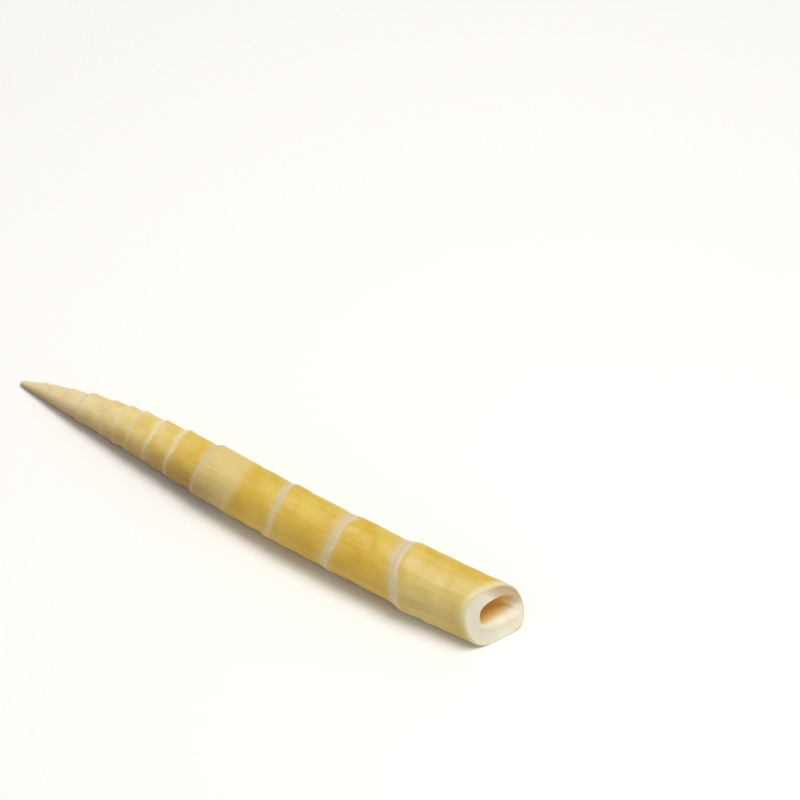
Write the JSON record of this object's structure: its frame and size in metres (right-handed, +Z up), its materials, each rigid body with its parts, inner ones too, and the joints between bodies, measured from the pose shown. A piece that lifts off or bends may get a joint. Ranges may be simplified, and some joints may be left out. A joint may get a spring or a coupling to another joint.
{
  "type": "bamboo shoot",
  "caption": "Peeled bamboo shoot, ringed and tapering to a point, cut across at a slant above the root and lying on its flattened side.",
  "frame": {"origin": "under the middle of the bounding box, on the surface that the shoot lies on", "axes": "+X along the shoot towards its cut end, the tip at -X; +Z up; the cut face also turns towards -Y"},
  "size_m": [0.2118, 0.0276, 0.0236],
  "materials": {
    "shoot": "satin, slightly waxy, pale yellow flesh with fine fibres along it"
  },
  "bodies": {
    "root": {"shoot": "shoot"}
  },
  "joints": []
}
